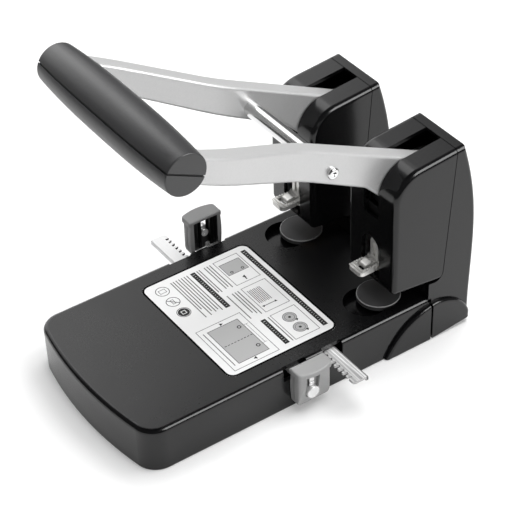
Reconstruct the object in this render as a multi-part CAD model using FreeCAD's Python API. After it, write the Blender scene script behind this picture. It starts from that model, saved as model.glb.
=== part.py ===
import FreeCAD, Part
import math
import os

# Heavy-duty two-hole paper drill with twin lever arms, paper guides and chip tray.
# Millimetres. X across the machine, +Y towards the rear, +Z up.
# Origin: centre of the footprint, on the table.

V = FreeCAD.Vector

# ---- driving dimensions --------------------------------------------------------------------------
HOLE_SPACING = 80.0        # filing standard, centre to centre
PIN_D = 6.0                # punched hole
HOLE_DEPTH = 12.0          # hole centre to the edge of the sheet
STROKE = 13.8              # travel of both punches
NOSE_ARM = 33.5            # lever pivot to the centre of the nose that pushes the ram

LENGTH = 242.0             # front of the base to the back of the columns
BASE_W = 125.0
BASE_TOP = 31.0
BASE_EDGE_R = 3.0          # rim of the base's top
BACK_CORNER_R = 2.2        # upright edges at the back of the columns and the base
COVER_BOTTOM = 0.6         # the feet stand this much proud of the covers
WALL = 2.5                 # moulded ABS wall
FRONT_BOW_R = 255.0        # bowed front of the base
FRONT_CORNER_R = 14.0
FRONT_DRAFT = 0.5          # the front leans in towards the table by this much

SPLIT_Y = 87.6             # joint between base cover and rear cover
SPLIT_GAP = 0.6
THROAT_Y = 86.8            # back stop of the paper throat
HEAD_FRONT_Y = 59.1
HEAD_TOP = 135.3           # at the back of a column
HEAD_SLOPE = 0.098         # fall of the top towards the front
HEAD_INNER_X = 18.0        # wall of a head that faces the other head
HEAD_NOSE_R = 20.0         # rounding from the front of a head to its top
LOW_TOP = 43.0             # rear cover between the two columns
BACK = [(110.3, HEAD_TOP), (115.6, 116.2), (119.3, 96.0), (121.0, 69.0), (120.2, 38.0),
        (119.6, COVER_BOTTOM)]

ARM_T = 12.0
ARM_SLOT_W = 13.7
ARM_SLOT_Z = 94.8          # floor of the arm slot in the head's front wall
GRIP_Y, GRIP_Z = -81.1, 200.3
GRIP_L = 131.2
GRIP_END_R, GRIP_MID_R = 12.9, 15.1
GRIP_TILT = -25.6          # parting plane of the grip, in degrees
CROSSBAR_Y, CROSSBAR_Z, CROSSBAR_D = 26.1, 143.5, 10.0

DISC_Y, DISC_R = 65.95, 13.6
DISC_TOP, DISC_T = 31.8, 3.0

GEAR_MODULE = 1.25
PINION_TEETH = 12
PINION_Y = 1.85
RACK_TAIL_X = 91.5
RACK_TOP, RACK_T = 27.0, 1.6
BLOCK_W, BLOCK_H = 24.2, 27.5
BLOCK_LOW_Z, BLOCK_LIFT = 4.0, 21.0

# ---- values that follow from them ----------------------------------------------------------------
SIDE_X = HOLE_SPACING / 2
HALF_W = BASE_W / 2
FRONT_Y = -LENGTH / 2
PIN_Y = THROAT_Y - HOLE_DEPTH
SWING = 2 * math.asin(STROKE / 2 / NOSE_ARM)
NOSE = V(0, 68.8, 115.6)
NOSE_R = 9.0
PIVOT = NOSE + V(0, NOSE_ARM * math.cos(SWING / 2), -STROKE / 2)
PITCH_R = GEAR_MODULE * PINION_TEETH / 2
TOOTH_PITCH = math.pi * GEAR_MODULE
print("lever swing %.3f deg, pivot y %.3f z %.3f" % (math.degrees(SWING), PIVOT.y, PIVOT.z))
print("ram m/rad %.6f" % (STROKE / 1000 / SWING))


# ---- small building functions --------------------------------------------------------------------
def rounded(points, radii, place):
    """Closed wire through 2-D points, each corner rounded by its radius."""
    edges, count = [], len(points)
    flat = [V(p[0], p[1], 0) for p in points]
    starts, ends = [], []
    for i, corner in enumerate(flat):
        back, ahead = flat[i - 1] - corner, flat[(i + 1) % count] - corner
        back.normalize()
        ahead.normalize()
        if radii[i] <= 0:
            starts.append(corner)
            ends.append(corner)
            edges.append(None)
            continue
        half = math.acos(max(-1.0, min(1.0, back.dot(ahead)))) / 2
        reach = radii[i] / math.tan(half)
        middle = back + ahead
        middle.normalize()
        top = corner + middle * (radii[i] / math.sin(half) - radii[i])
        starts.append(corner + back * reach)
        ends.append(corner + ahead * reach)
        edges.append(Part.Arc(place(starts[i]), place(top), place(ends[i])).toShape())
    outline = []
    for i in range(count):
        if edges[i]:
            outline.append(edges[i])
        here, there = ends[i], starts[(i + 1) % count]
        if (there - here).Length > 1e-6:
            outline.append(Part.LineSegment(place(here), place(there)).toShape())
    return Part.Wire(outline)


def prism_x(points, radii, x0, x1):
    """Outline in (y, z), drawn from x0 to x1."""
    wire = rounded(points, radii, lambda p: V(x0, p.x, p.y))
    return Part.Face(wire).extrude(V(x1 - x0, 0, 0))


def prism_y(points, radii, y0, y1, slope=0.0):
    """Outline in (x, z), drawn from y0 to y1 and rising by slope."""
    wire = rounded(points, radii, lambda p: V(p.x, y0, p.y))
    return Part.Face(wire).extrude(V(0, y1 - y0, slope * (y1 - y0)))


def prism_z(points, radii, z0, z1):
    """Outline in (x, y), drawn from z0 to z1."""
    wire = rounded(points, radii, lambda p: V(p.x, p.y, z0))
    return Part.Face(wire).extrude(V(0, 0, z1 - z0))


def box(x0, x1, y0, y1, z0, z1):
    return Part.makeBox(x1 - x0, y1 - y0, z1 - z0, V(x0, y0, z0))


def rod(r, start, end):
    """Cylinder of radius r between two points."""
    axis = end - start
    return Part.makeCylinder(r, axis.Length, start, axis)


def round_box(x0, x1, y0, y1, z0, z1, r):
    return prism_z([(x0, y0), (x1, y0), (x1, y1), (x0, y1)], [r] * 4, z0, z1)


def mirrored(shape):
    return shape.mirror(V(0, 0, 0), V(1, 0, 0))


def moved(shape, x=0.0, y=0.0, z=0.0):
    result = shape.copy()
    result.translate(V(x, y, z))
    return result


def soften(shape, radius, wanted):
    """Round every edge that the test picks out."""
    return shape.makeFillet(radius, [e for e in shape.Edges if wanted(e.BoundBox, e)])


def save(name, shape):
    solids = shape.Solids
    result = solids[0] if len(solids) == 1 else Part.makeCompound(solids)
    if not result.isValid():
        print("NOT VALID", name)
    print("%-22s solids %d volume %.0f" % (name, len(solids), result.Volume))
    result.exportStep("parts/%s.step" % name)


os.makedirs("parts", exist_ok=True)


# ---- base cover ----------------------------------------------------------------------------------
def base_outline(inset, lean, z):
    """Plan outline of the base, square at the rear and bowed at the front."""
    half, bow = HALF_W - inset, FRONT_BOW_R - inset
    corner = FRONT_CORNER_R - inset
    centre_y = FRONT_Y + FRONT_BOW_R + lean
    corner_x = half - corner
    corner_y = centre_y - math.sqrt((bow - corner) ** 2 - corner_x ** 2)
    out = V(corner_x, corner_y - centre_y, 0).normalize()
    touch = V(0, centre_y, 0) + out * bow
    mid = V(1, 0, 0) + out
    mid.normalize()
    knee = V(corner_x, corner_y, 0) + mid * corner
    lift = V(0, 0, z)

    def flip(p):
        return V(-p.x, p.y, 0)

    right = [V(half, SPLIT_Y, 0), V(half, corner_y, 0), knee, touch]
    left = [flip(p) for p in right]
    front = V(0, FRONT_Y + inset + lean, 0)
    edges = [
        Part.LineSegment(right[0] + lift, right[1] + lift).toShape(),
        Part.Arc(right[1] + lift, right[2] + lift, right[3] + lift).toShape(),
        Part.Arc(right[3] + lift, front + lift, left[3] + lift).toShape(),
        Part.Arc(left[3] + lift, left[2] + lift, left[1] + lift).toShape(),
        Part.LineSegment(left[1] + lift, left[0] + lift).toShape(),
        Part.LineSegment(left[0] + lift, right[0] + lift).toShape(),
    ]
    return Part.Wire(edges)


def base_body(inset, z0, z1):
    lean = FRONT_DRAFT * (BASE_TOP - z0) / (BASE_TOP - COVER_BOTTOM)
    top_lean = FRONT_DRAFT * (BASE_TOP - z1) / (BASE_TOP - COVER_BOTTOM)
    wires = [base_outline(inset, lean, z0), base_outline(inset, top_lean, z1)]
    return Part.makeLoft(wires, True, True)


FENDER = [(53.6, COVER_BOTTOM), (58.6, 9.0), (64.6, 16.0), (72.2, 21.6), (87.1, 27.0),
          (93.6, 27.7), (100.3, 26.2), (107.5, 22.8), (114.2, 16.8), (118.3, 9.4), (119.4, COVER_BOTTOM)]
FENDER_PROUD = 2.5


def fender():
    """Raised pad low on each side, half on the base cover and half on the rear cover."""
    curve = Part.BSplineCurve()
    curve.interpolate([V(HALF_W - 1, y, z) for y, z in FENDER])
    last, first = FENDER[-1], FENDER[0]
    foot = Part.LineSegment(V(HALF_W - 1, *last), V(HALF_W - 1, *first)).toShape()
    pad = Part.Face(Part.Wire([curve.toShape(), foot])).extrude(V(FENDER_PROUD + 1, 0, 0))
    outer_x = HALF_W + FENDER_PROUD
    pad = soften(pad, 2.0, lambda b, e: b.XMin > outer_x - 0.01 and b.ZMax > 10)
    rear_y = FENDER[-1][0]
    plan = [(HALF_W - 1, 50), (outer_x, 50), (outer_x, rear_y), (HALF_W - 1, rear_y)]
    return pad.common(prism_z(plan, [0, 0, FENDER_PROUD + 0.9, 0], 0, 40))


RACK_FRONT = (-21.0, -4.0)   # cut-outs in each side of the base, along Y
RACK_REAR = (7.7, 22.0)
LABEL = (-50.1, 50.1, -50.0, 29.2)
LABEL_T, LABEL_R = 0.3, 6.0  # depth of its seat, and rounding of its corners
RECESS_X, RECESS_Y, RECESS_R = 41.0, 55.1, 13.7
BOSSES = [(-48, -96), (48, -96), (-52, 38), (52, 38)]
PADS = fender()


def base_cover():
    shell = base_body(0, COVER_BOTTOM, BASE_TOP)
    shell = soften(shell, BASE_EDGE_R, lambda b, e: b.ZMin > BASE_TOP - 0.01 and b.YMin < SPLIT_Y - 1)
    ceiling = BASE_TOP - WALL
    inside = base_body(WALL, COVER_BOTTOM - 1, ceiling)
    inside = inside.fuse(box(-HALF_W + WALL, HALF_W - WALL, 60, SPLIT_Y + 5, -5, ceiling))
    shell = shell.cut(inside)
    shell = shell.cut(box(-HALF_W - 1, HALF_W + 1, THROAT_Y, SPLIT_Y + 1, ceiling, BASE_TOP + 1))
    front_half = box(-80, 80, 0, SPLIT_Y, 0, 40)
    for pad in (PADS, mirrored(PADS)):
        shell = shell.fuse(pad.common(front_half))
    for side in (-1, 1):
        seat, hollow = V(side * SIDE_X, DISC_Y, 0), V(side * RECESS_X, RECESS_Y, 0)
        shell = shell.fuse(rod(DISC_R + 2.5, seat + V(0, 0, 22.8), seat + V(0, 0, 29)))
        shell = shell.fuse(rod(RECESS_R + 2.0, hollow + V(0, 0, 22.8), hollow + V(0, 0, 29)))
    for x, y in BOSSES:
        shell = shell.fuse(rod(4.5, V(x, y, 12.0), V(x, y, 28.5)))
        shell = shell.cut(rod(1.6, V(x, y, 11.0), V(x, y, 24.0)))
    for side in (-1, 1):
        x, end = side * SIDE_X, side * HALF_W
        shell = shell.cut(rod(DISC_R + 0.3, V(x, DISC_Y, DISC_TOP - DISC_T), V(x, DISC_Y, 35)))
        hollow = V(side * RECESS_X, RECESS_Y, 0)
        shell = shell.cut(rod(RECESS_R, hollow + V(0, 0, 25.8), hollow + V(0, 0, 35)))
        shell = shell.cut(rod(3.1, V(x, DISC_Y, 20), V(x, DISC_Y, 35)))
        shell = shell.cut(rod(4.0, V(x, PIN_Y, 20), V(x, PIN_Y, 35)))
        for y0, y1 in (RACK_FRONT, RACK_REAR):
            notch, way_in = sorted((end + side, end - side * 3)), sorted((end + side, end - side * 8))
            shell = shell.cut(box(*notch, y0, y1, 22.0, 35))
            shell = shell.cut(box(*way_in, y0, y1, 22.0, 27.9))
    shell = shell.cut(round_box(*LABEL, BASE_TOP - LABEL_T, BASE_TOP + 1, LABEL_R))
    return shell.removeSplitter()


save("base_cover", base_cover())
save("label_plate", round_box(*LABEL, BASE_TOP - LABEL_T, BASE_TOP, LABEL_R))


# ---- rear cover: both columns and the back of the base in one moulding ---------------------------
def top_z(y):
    """Height of the sloping top of the heads and columns."""
    return HEAD_TOP - HEAD_SLOPE * (BACK[0][0] - y)


PART_LOW, PART_HIGH = (96.7, 42.0), (104.1, top_z(104.1))   # parting line between a head and its column
HEAD_FRONT_FOOT = (HEAD_FRONT_Y, 46.6)
HEAD_CORNER_R = 6.0
HEAD_EDGE_R = 3.3                                         # top and front edges of a head
PARTING = 0.45                                          # gap between a head and its column
REAR_LIFT = 3.4                      # the foot of the rear cover rises towards the back by this much
SEAM_W, SEAM_DEEP = 0.9, 1.5         # groove down each side where the rear cover meets the base cover


def back_face(inset, x0, x1, front, z_low, z_high):
    """Solid between y = front and the curved back, for x0 to x1."""
    curve = Part.BSplineCurve()
    curve.interpolate([V(x0, y - inset, z) for y, z in BACK])
    top, foot = V(x0, BACK[0][0] - inset, BACK[0][1]), V(x0, BACK[-1][0] - inset, BACK[-1][1])
    corners = [top, V(x0, front, top.z), V(x0, front, foot.z), foot]
    lines = [Part.LineSegment(corners[i], corners[i + 1]).toShape() for i in range(3)]
    solid = Part.Face(Part.Wire([curve.toShape()] + lines)).extrude(V(x1 - x0, 0, 0))
    return solid.common(box(x0 - 1, x1 + 1, front - 1, 140, z_low, z_high))


def head_outline(inset):
    """Side outline of a head: front, sloping top, sloping underside; it runs on into the column."""
    slope = (PART_LOW[1] - HEAD_FRONT_FOOT[1]) / (PART_LOW[0] - HEAD_FRONT_FOOT[0])
    front, rear = HEAD_FRONT_Y + inset, 112.0
    foot = HEAD_FRONT_FOOT[1] + inset
    return [(front, foot + slope * inset), (front, top_z(front) - inset), (rear, top_z(rear) - inset),
            (rear, foot + slope * (rear - HEAD_FRONT_Y))]


def head_room(gap):
    """Side outline of everything in front of the parting line, moved back by gap."""
    lean = (PART_HIGH[0] - PART_LOW[0]) / (PART_HIGH[1] - PART_LOW[1])
    high, low = 200.0, PART_LOW[1] - gap
    slope = (PART_LOW[1] - HEAD_FRONT_FOOT[1]) / (PART_LOW[0] - HEAD_FRONT_FOOT[0])
    front = 50.0
    return [(front, low + slope * (front - PART_LOW[0])), (front, high),
            (PART_LOW[0] + gap + lean * (high - PART_LOW[1]), high), (PART_LOW[0] + gap, low)]


def rear_cover():
    low = back_face(0, -HALF_W, HALF_W, THROAT_Y, COVER_BOTTOM, LOW_TOP)
    low = soften(low, BACK_CORNER_R, lambda b, e: b.YMin > 109 and b.XLength < 0.1)
    cover = low.cut(box(-80, 80, 60, SPLIT_Y + SPLIT_GAP, -5, BASE_TOP))
    for x0, x1 in ((-HALF_W, -HEAD_INNER_X), (HEAD_INNER_X, HALF_W)):
        column = back_face(0, x0, x1, THROAT_Y, COVER_BOTTOM, HEAD_TOP)
        column = soften(column, BACK_CORNER_R, lambda b, e: b.YMin > 109 and b.XLength < 0.1)
        corners = [(x0, 0), (x1, 0), (x1, top_z(80)), (x0, top_z(80))]
        column = column.common(prism_y(corners, [0, 0, HEAD_EDGE_R, HEAD_EDGE_R], 80, 130, HEAD_SLOPE))
        column = column.common(box(x0, x1, THROAT_Y, 130, LOW_TOP - 6, HEAD_TOP))
        cover = cover.fuse(column)
        room = prism_x(head_room(PARTING), [0, 0, 0, HEAD_CORNER_R + PARTING], x0 - 1, x1 + 1)
        cover = cover.cut(room)
    low_room = back_face(WALL, -HALF_W + WALL, HALF_W - WALL, THROAT_Y + WALL, COVER_BOTTOM - 1,
                         LOW_TOP - WALL)
    cover = cover.cut(low_room)
    cover = cover.cut(box(-HALF_W + WALL, HALF_W - WALL, 70, 100, -1, BASE_TOP - WALL))
    inner, outer = HEAD_INNER_X + WALL, HALF_W - WALL
    for x0, x1 in ((-outer, -inner), (inner, outer)):
        cover = cover.cut(back_face(WALL, x0, x1, THROAT_Y + WALL, COVER_BOTTOM, HEAD_TOP - WALL))
    rear_half = box(-80, 80, SPLIT_Y + SPLIT_GAP, 140, 0, 40)
    for pad in (PADS, mirrored(PADS)):
        cover = cover.fuse(pad.common(rear_half))
    back_y = BACK[-1][0] + 2
    under = [(SPLIT_Y, -5), (SPLIT_Y, COVER_BOTTOM), (back_y, COVER_BOTTOM + REAR_LIFT), (back_y, -5)]
    cover = cover.cut(prism_x(under, [0] * 4, -80, 80))
    seam_y = SPLIT_Y + SPLIT_GAP
    for x0, x1 in ((-80, -HALF_W + SEAM_DEEP), (HALF_W - SEAM_DEEP, 80)):
        cover = cover.cut(box(x0, x1, seam_y - 1, seam_y + SEAM_W, -5, BASE_TOP))
    return cover.removeSplitter()


save("rear_cover", rear_cover())


# ---- head covers ---------------------------------------------------------------------------------
RELEASE_SLOT = (8.5, 50.0, 79.0)     # half width, bottom and top of the arched front opening


def head_cover():
    x0, x1 = HEAD_INNER_X, HALF_W
    outer = prism_x(head_outline(0), [3.5, HEAD_NOSE_R, 0, 0], x0, x1)
    outer = soften(outer, HEAD_EDGE_R, lambda b, e: b.XLength < 0.1 and b.YMin < 100)
    outer = outer.common(prism_x(head_room(0), [0, 0, 0, HEAD_CORNER_R], x0, x1))
    inside = prism_x(head_outline(WALL), [1.0, HEAD_NOSE_R - WALL, 0, 0], x0 + WALL, x1 - WALL)
    cover = outer.cut(inside)
    half = ARM_SLOT_W / 2
    cover = cover.cut(box(SIDE_X - half, SIDE_X + half, 40, 115, ARM_SLOT_Z, 140))
    wide, low, high = RELEASE_SLOT
    left, right = SIDE_X - wide, SIDE_X + wide
    arch = prism_y([(left, low), (right, low), (right, high), (left, high)],
                   [1, 1, wide - 0.01, wide - 0.01], 50, HEAD_FRONT_Y + WALL + 1)
    cover = cover.cut(arch)
    return cover.cut(rod(8.6, V(SIDE_X, PIN_Y, 40), V(SIDE_X, PIN_Y, 52)))


HEAD = head_cover()
save("head_cover_right", HEAD)
save("head_cover_left", mirrored(HEAD))


# ---- chip tray, feet and chassis -----------------------------------------------------------------
TRAY_Z0, TRAY_Z1, TRAY_RIM = 0.7, 2.4, 7.5
CHASSIS_Z0, CHASSIS_Z1 = 9.0, 11.5
FEET = [(-46, -92), (46, -92), (-46, 98), (46, 98)]
FOOT_R = 7.0


def chip_tray():
    inset = WALL + 0.4
    tray = base_body(inset, TRAY_Z0, TRAY_RIM).cut(base_body(inset + 1.6, TRAY_Z1, TRAY_RIM + 1))
    rear = box(-HALF_W + inset, HALF_W - inset, SPLIT_Y - 1.7, 116.2, TRAY_Z0, TRAY_RIM)
    room = box(-HALF_W + inset + 1.6, HALF_W - inset - 1.6, SPLIT_Y - 8, 114.6, TRAY_Z1, TRAY_RIM + 1)
    tray = tray.fuse(rear).cut(room)
    for x, y in FEET:
        tray = tray.cut(rod(FOOT_R + 0.1, V(x, y, -1), V(x, y, TRAY_Z0 + 0.6)))
    return tray.removeSplitter()


def rubber_feet():
    return Part.makeCompound([rod(FOOT_R, V(x, y, 0), V(x, y, TRAY_Z0 + 0.6)) for x, y in FEET])


FRAME_PLATES = (8.0, 11.0)           # inner and outer face of a side plate, from the punch axis
FRAME_BOLTS_Y, BOLT_BLOCK_HALF = (60.0, 106.0), 5.5


def chassis_plate():
    plate = round_box(-56, 56, -104, 113, CHASSIS_Z0, CHASSIS_Z1, 8)
    for side in (-1, 1):
        plate = plate.cut(rod(5.0, V(side * SIDE_X, PIN_Y, 0), V(side * SIDE_X, PIN_Y, 20)))
        for y in FRAME_BOLTS_Y:
            plate = plate.cut(rod(2.1, V(side * SIDE_X, y, 0), V(side * SIDE_X, y, 20)))
    for x, y in BOSSES:
        plate = plate.cut(rod(1.8, V(x, y, 0), V(x, y, 20)))
    plate = plate.cut(round_box(-30, 30, -70, -30, 0, 20, 6))
    return plate


def pan_screw(r_head, h_head, r_shank, base, tip):
    """Screw with its head at base and its shank running to tip."""
    axis = (tip - base).normalize()
    return rod(r_head, base - axis * h_head, base).fuse(rod(r_shank, base, tip))


save("chip_tray", chip_tray())
save("rubber_feet", rubber_feet())
save("chassis_plate", chassis_plate())
save("cover_screws", Part.makeCompound(
    [pan_screw(3.2, 1.8, 1.5, V(x, y, CHASSIS_Z0), V(x, y, 23.0)) for x, y in BOSSES]))


# ---- punch frames: two steel side plates, an anvil and a guide block, welded ---------------------
BUSH_R = 7.5
BUSH_Z0, BUSH_Z1 = 45.0, 62.0
PIN_BORE = 0.05                      # running clearance on the radius
PIVOT_R = 4.0
RELEASE_Y, RELEASE_Z = 64.0, 58.5    # hinge of the release lever
RELEASE_PIN_R = 1.2


def punch_frame():
    side = [(50, CHASSIS_Z1), (50, 22.5), (97.8, 22.5), (97.8, 48.0), (61.9, 49.4), (61.9, 101.0),
            (87.0, 103.0), (91.0, 119.0), (111.2, 119.0), (113.6, 96.0), (115.0, CHASSIS_Z1)]
    radii = [0, 3, 4, 4, 2, 6, 10, 9, 9, 30, 0]
    near, far = FRAME_PLATES
    frame = prism_x(side, radii, SIDE_X + near, SIDE_X + far)
    frame = frame.fuse(prism_x(side, radii, SIDE_X - far, SIDE_X - near))
    frame = frame.fuse(box(SIDE_X - near, SIDE_X + near, 64.0, 90.0, 14.0, 22.5))
    frame = frame.fuse(box(SIDE_X - near, SIDE_X + near, 67.0, 98.0, 49.6, 60.0))
    frame = frame.fuse(box(SIDE_X - near, SIDE_X + near, 112.2, 113.6, 14.0, 92.0))
    for y in FRAME_BOLTS_Y:
        front, rear = y - BOLT_BLOCK_HALF, min(y + BOLT_BLOCK_HALF, 113.6)
        frame = frame.fuse(box(SIDE_X - near, SIDE_X + near, front, rear, CHASSIS_Z1, 15.0))
        frame = frame.cut(rod(1.7, V(SIDE_X, y, 0), V(SIDE_X, y, 20)))
    frame = frame.cut(rod(BUSH_R + 0.02, V(SIDE_X, PIN_Y, 44), V(SIDE_X, PIN_Y, 64)))
    frame = frame.cut(rod(3.6, V(SIDE_X, PIN_Y, 10), V(SIDE_X, PIN_Y, 30)))
    frame = frame.cut(rod(2.4, V(SIDE_X, DISC_Y, 20), V(SIDE_X, DISC_Y, 30)))
    across = V(far + 1, 0, 0)
    pivot, release = V(SIDE_X, PIVOT.y, PIVOT.z), V(SIDE_X, RELEASE_Y, RELEASE_Z)
    frame = frame.cut(rod(PIVOT_R + 0.02, pivot - across, pivot + across))
    return frame.cut(rod(RELEASE_PIN_R + 0.02, release - across, release + across)).removeSplitter()


def frame_screws():
    screws = [pan_screw(3.4, 2.0, 1.65, V(side * SIDE_X, y, CHASSIS_Z0), V(side * SIDE_X, y, 15.0))
              for side in (-1, 1) for y in FRAME_BOLTS_Y]
    return Part.makeCompound(screws)


def pin_bush():
    bush = rod(BUSH_R, V(SIDE_X, PIN_Y, BUSH_Z0), V(SIDE_X, PIN_Y, 60.0))
    bush = bush.fuse(rod(6.6, V(SIDE_X, PIN_Y, 60.0), V(SIDE_X, PIN_Y, BUSH_Z1)))
    return bush.cut(rod(PIN_D / 2 + PIN_BORE, V(SIDE_X, PIN_Y, 40), V(SIDE_X, PIN_Y, 70)))


def pivot_pin():
    reach = V(FRAME_PLATES[1] + 2.0, 0, 0)
    centre = V(SIDE_X, PIVOT.y, PIVOT.z)
    return rod(PIVOT_R, centre - reach, centre + reach)


def pivot_clips():
    clips = []
    for side in (-1, 1):
        for end in (-1, 1):
            face = V(side * SIDE_X + end * (FRAME_PLATES[1] + 0.1), PIVOT.y, PIVOT.z)
            ring = rod(6.5, face, face + V(end * 1.0, 0, 0))
            ring = ring.cut(rod(PIVOT_R + 0.02, face - V(end, 0, 0), face + V(end * 2, 0, 0)))
            mouth = box(face.x - 3, face.x + 3, face.y - 3, face.y + 3, face.z - 9, face.z - 1)
            clips.append(ring.cut(mouth))
    return Part.makeCompound(clips)


def release_pins():
    reach = V(FRAME_PLATES[1], 0, 0)
    centres = [V(side * SIDE_X, RELEASE_Y, RELEASE_Z) for side in (-1, 1)]
    return Part.makeCompound([rod(RELEASE_PIN_R, c - reach, c + reach) for c in centres])


FRAME = punch_frame()
save("punch_frame_right", FRAME)
save("punch_frame_left", mirrored(FRAME))
save("frame_screws", frame_screws())
BUSH = pin_bush()
save("pin_bush_right", BUSH)
save("pin_bush_left", mirrored(BUSH))
save("pivot_pin_right", pivot_pin())
save("pivot_pin_left", mirrored(pivot_pin()))
save("pivot_clips", pivot_clips())
save("release_pins", release_pins())


# ---- rams, punches and return springs ------------------------------------------------------------
RAM_TOP = NOSE.z - NOSE_R - 0.3
RAM_FOOT = 96.0
RAM_HALF_X = 7.0
TIP_Z = DISC_TOP + 0.1 + STROKE      # the punch stops just above the cutting disc
SPRING_R, SPRING_WIRE, SPRING_TURNS = 5.5, 0.7, 8


def ram():
    """Carrier under the nose of the lever; its front lip closes the slot below the arm."""
    block = box(SIDE_X - RAM_HALF_X, SIDE_X + RAM_HALF_X, 64.6, 85.0, RAM_FOOT, RAM_TOP)
    lip = box(SIDE_X - RAM_HALF_X, SIDE_X + RAM_HALF_X, HEAD_FRONT_Y + WALL + 0.3, 64.6, 93.0, 101.0)
    carrier = block.fuse(lip)
    seat = rod(PIN_D / 2 + 0.01, V(SIDE_X, PIN_Y, 90), V(SIDE_X, PIN_Y, 103))
    return carrier.cut(seat).removeSplitter()


def punch_pin():
    pin = rod(PIN_D / 2, V(SIDE_X, PIN_Y, TIP_Z), V(SIDE_X, PIN_Y, 103.0))
    return pin.cut(rod(PIN_D / 2 - 0.9, V(SIDE_X, PIN_Y, TIP_Z - 1), V(SIDE_X, PIN_Y, TIP_Z + 24)))


def return_spring():
    z0, z1 = BUSH_Z1 + SPRING_WIRE + 0.05, RAM_FOOT - SPRING_WIRE - 0.05
    helix = Part.makeHelix((z1 - z0) / SPRING_TURNS, z1 - z0, SPRING_R)
    section = Part.Wire(Part.Circle(V(SPRING_R, 0, 0), V(0, 1, 0), SPRING_WIRE).toShape())
    coil = Part.Wire(helix.Edges).makePipeShell([section], True, True)
    return moved(coil, SIDE_X, PIN_Y, z0)


RAM, PUNCH, SPRING = ram(), punch_pin(), return_spring()
save("ram_right", RAM)
save("ram_left", mirrored(RAM))
save("punch_pin_right", PUNCH)
save("punch_pin_left", mirrored(PUNCH))
save("return_spring_right", SPRING)
save("return_spring_left", moved(SPRING, -2 * SIDE_X))


# ---- release levers: zinc, a ribbed finger tab and an upright leg --------------------------------
TAB_FRONT, TAB_HALF = 47.1, 6.25
TONGUE_Y = 53.0                      # front of the raised finger pad
LEG_Y, LEG_TOP = (62.0, 64.6), 75.5


def release_lever():
    tab = round_box(-TAB_HALF, TAB_HALF, TAB_FRONT, 60.0, 56.6, 59.4, 3.0)
    tab = tab.cut(round_box(-3.7, 3.7, TAB_FRONT + 3.6, 59.4, 50, 65, 1.0))
    tongue = prism_x([(TONGUE_Y, 57.8), (TONGUE_Y, 60.6), (TONGUE_Y + 5.1, 61.8), (60.0, 60.2),
                      (63.0, 60.2), (63.0, 57.8)], [1.0, 1.5, 1.0, 1.0, 0, 0], -2.8, 2.8)
    barrel = rod(2.6, V(-TAB_HALF, RELEASE_Y, RELEASE_Z), V(TAB_HALF, RELEASE_Y, RELEASE_Z))
    web = box(-TAB_HALF, TAB_HALF, 59.4, RELEASE_Y, 56.6, 59.4)
    leg = prism_y([(-3.6, 58.0), (3.6, 58.0), (3.6, LEG_TOP), (-3.6, LEG_TOP)], [0, 0, 3.0, 3.0], *LEG_Y)
    groove = [(-1.1, 62.6), (1.1, 62.6), (1.1, 72), (-1.1, 72)]
    leg = leg.cut(prism_y(groove, [1.0] * 4, 59, LEG_Y[0] + 1.3))
    strut = prism_x([(58.0, 57.2), (62.8, 51.4), (64.6, 53.0), (61.0, 57.2)], [0, 0.5, 0.5, 0], -1.4, 1.4)
    lever = tab.fuse([tongue, barrel, web, leg, strut])
    hole = rod(RELEASE_PIN_R + 0.05, V(-9, RELEASE_Y, RELEASE_Z), V(9, RELEASE_Y, RELEASE_Z))
    return moved(lever.cut(hole).removeSplitter(), SIDE_X)


RELEASE = release_lever()
save("release_lever_right", RELEASE)
save("release_lever_left", mirrored(RELEASE))


# ---- cutting discs: loose nylon discs that turn on a centre stub ---------------------------------
def cutting_disc():
    disc = rod(DISC_R, V(SIDE_X, DISC_Y, DISC_TOP - DISC_T + 0.05), V(SIDE_X, DISC_Y, DISC_TOP))
    disc = soften(disc, 0.4, lambda b, e: b.ZMin > DISC_TOP - 0.01)
    return disc.fuse(rod(2.8, V(SIDE_X, DISC_Y, 23.6), V(SIDE_X, DISC_Y, 29.5)))


DISC = cutting_disc()
save("cutting_disc_right", DISC)
save("cutting_disc_left", mirrored(DISC))


# ---- lever: two cast arms, crossbar and grip -----------------------------------------------------
ARM_EDGE_R = 1.9
GRIP_ARM_X = 56.4                    # centre plane of an arm where it enters the grip


def arm_profile():
    """Side outline of an arm, from the grip end round the boss and nose and back."""
    boss = 9.5
    points = [(-85.1, 211.4), (94.5, 123.6), (PIVOT.y + boss, PIVOT.z + boss - 1),
              (PIVOT.y + boss, PIVOT.z - boss), (PIVOT.y - 8, PIVOT.z - boss), (84.0, 110.8),
              (76.5, NOSE.z - NOSE_R), (64.7, NOSE.z - NOSE_R), (50.8, 121.0), (-91.3, 197.8)]
    radii = [5, 8, 9.4, 9.4, 6, 5, 3, NOSE_R, 10, 5]
    return points, radii


def arm_path(z):
    """Centre line of the right arm in plan: straight, outward, then square to the grip."""
    bend = math.radians(14)
    points = [V(SIDE_X, 125, z), V(SIDE_X, 6.3, z)]
    run = (GRIP_ARM_X - SIDE_X) / math.tan(bend)
    points += [V(GRIP_ARM_X, 6.3 - run, z), V(GRIP_ARM_X, -110, z)]
    edges, here = [], points[0]
    for i, r in ((1, 105.0), (2, 140.0)):
        back, ahead = (points[i - 1] - points[i]).normalize(), (points[i + 1] - points[i]).normalize()
        reach = r * math.tan(bend / 2)
        start, end = points[i] + back * reach, points[i] + ahead * reach
        mid = (back + ahead).normalize()
        knee = points[i] + mid * (r / math.cos(bend / 2) - r)
        edges += [Part.LineSegment(here, start).toShape(), Part.Arc(start, knee, end).toShape()]
        here = end
    edges.append(Part.LineSegment(here, points[3]).toShape())
    return Part.Wire(edges)


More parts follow.
